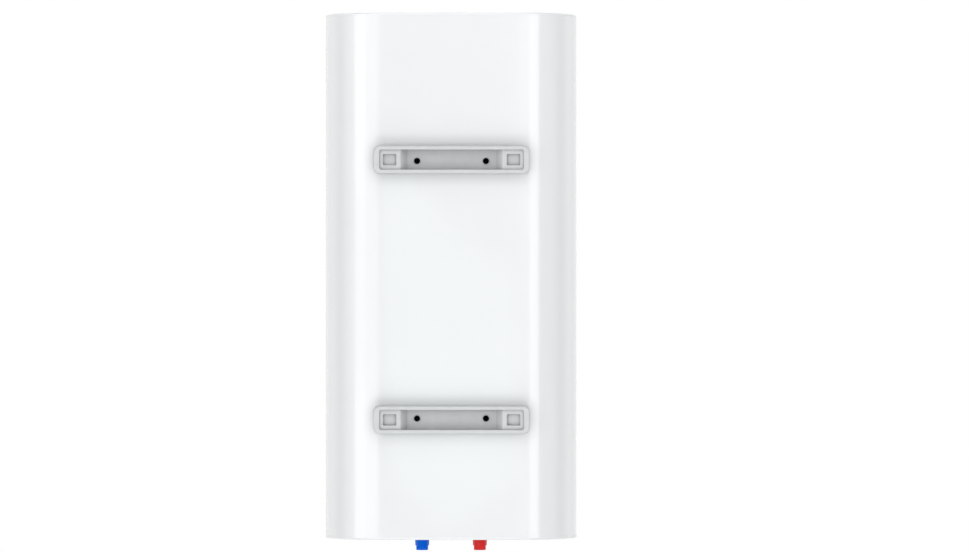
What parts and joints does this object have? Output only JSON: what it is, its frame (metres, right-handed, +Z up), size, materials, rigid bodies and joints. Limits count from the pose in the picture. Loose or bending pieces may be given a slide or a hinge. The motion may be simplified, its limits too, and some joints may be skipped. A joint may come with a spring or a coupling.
{
  "type": "tank water heater",
  "caption": "Flat upright wall-hung storage water heater: rounded white casing, rear wall brackets with hook pockets, capped water pipes below, front control panel.",
  "frame": {"origin": "middle of the upper wall bracket, on the wall plane that the brackets' rims lie on", "axes": "+Z up, +Y into the wall, -Y out of the front with the control panel, +X to the right seen from the front"},
  "size_m": [0.434, 0.2813, 0.9263],
  "materials": {
    "casing_white": "gloss",
    "cap_white": "gloss",
    "bracket_grey": "satin",
    "black_steel": "satin",
    "thread_cap_blue": "satin",
    "thread_cap_red": "satin",
    "nipple_steel": "satin",
    "tank_steel": "satin",
    "diffuser_plastic": "matte",
    "foam": "matte",
    "strap_steel": "satin",
    "zinc_fastener": "satin",
    "flange_steel": "satin",
    "black_rubber": "matte",
    "element_sheath": "satin",
    "magnesium": "matte",
    "copper": "satin",
    "black_moulding": "matte",
    "lead_silicone": "matte",
    "reset_red": "satin",
    "panel_dark": "gloss",
    "housing_plastic": "matte",
    "board_green": "satin",
    "lamp_clear": "gloss",
    "lens_amber": "gloss",
    "knob_silver": "satin",
    "spindle_steel": "satin",
    "button_silver": "satin"
  },
  "bodies": {
    "heater": {"bottom_cap": "cap_white", "bottom_cap_screws": "zinc_fastener", "cable_bush": "black_rubber", "cap_posts": "strap_steel", "cold_anode": "magnesium", "cold_element": "element_sheath", "cold_flange": "flange_steel", "cold_flange_bolts": "zinc_fastener", "cold_flange_gasket": "black_rubber", "cold_nipple": "nipple_steel", "cold_tank": "tank_steel", "cold_thermowell": "copper", "control_panel": "panel_dark", "crossover_pipe": "tank_steel", "cutout_capillary": "copper", "element_leads": "lead_silicone", "hot_anode": "magnesium", "hot_element": "element_sheath", "hot_flange": "flange_steel", "hot_flange_bolts": "zinc_fastener", "hot_flange_gasket": "black_rubber", "hot_nipple": "nipple_steel", "hot_tank": "tank_steel", "hot_thermowell": "copper", "indicator_lenses": "lens_amber", "inlet_diffuser": "diffuser_plastic", "insulation_foam": "foam", "lamp_board": "board_green", "lamps": "lamp_clear", "lower_bracket": "bracket_grey", "lower_bracket_screws": "black_steel", "lower_hanger": "strap_steel", "outer_casing": "casing_white", "outlet_standpipe": "tank_steel", "panel_housing": "housing_plastic", "panel_screws": "zinc_fastener", "pipe_grommets": "black_rubber", "push_switches": "black_moulding", "safety_cutout": "black_moulding", "switch_board": "board_green", "terminal_block": "housing_plastic", "thermostat": "black_moulding", "thermostat_capillary": "copper", "top_cap": "cap_white", "upper_bracket": "bracket_grey", "upper_bracket_screws": "black_steel", "upper_hanger": "strap_steel"},
    "knob": {"temperature_knob": "knob_silver", "knob_spindle": "spindle_steel"},
    "left_button": {"left_power_button": "button_silver"},
    "right_button": {"right_power_button": "button_silver"},
    "reset": {"reset_button": "reset_red"},
    "cold_cap": {"cold_thread_cap": "thread_cap_blue"},
    "hot_cap": {"hot_thread_cap": "thread_cap_red"}
  },
  "joints": [
    {"name": "knob_turn", "type": "hinge", "parent": "heater", "child": "knob", "pos_m": [0, -0.264, -0.61], "axis": [0, 1, 0], "range_deg": [0, 270]},
    {"name": "left_button_press", "type": "slide", "parent": "heater", "child": "left_button", "axis": [0, 1, 0], "range_m": [0, 0.0025], "stiffness_N_per_m": 400},
    {"name": "right_button_press", "type": "slide", "parent": "heater", "child": "right_button", "axis": [0, 1, 0], "range_m": [0, 0.0025], "stiffness_N_per_m": 400},
    {"name": "reset_press", "type": "slide", "parent": "heater", "child": "reset", "axis": [0, 0, 1], "range_m": [0, 0.002], "stiffness_N_per_m": 300},
    {"name": "cold_cap_pull", "type": "slide", "parent": "heater", "child": "cold_cap", "axis": [0, 0, -1], "range_m": [0, 0.06]},
    {"name": "hot_cap_pull", "type": "slide", "parent": "heater", "child": "hot_cap", "axis": [0, 0, -1], "range_m": [0, 0.06]}
  ]
}
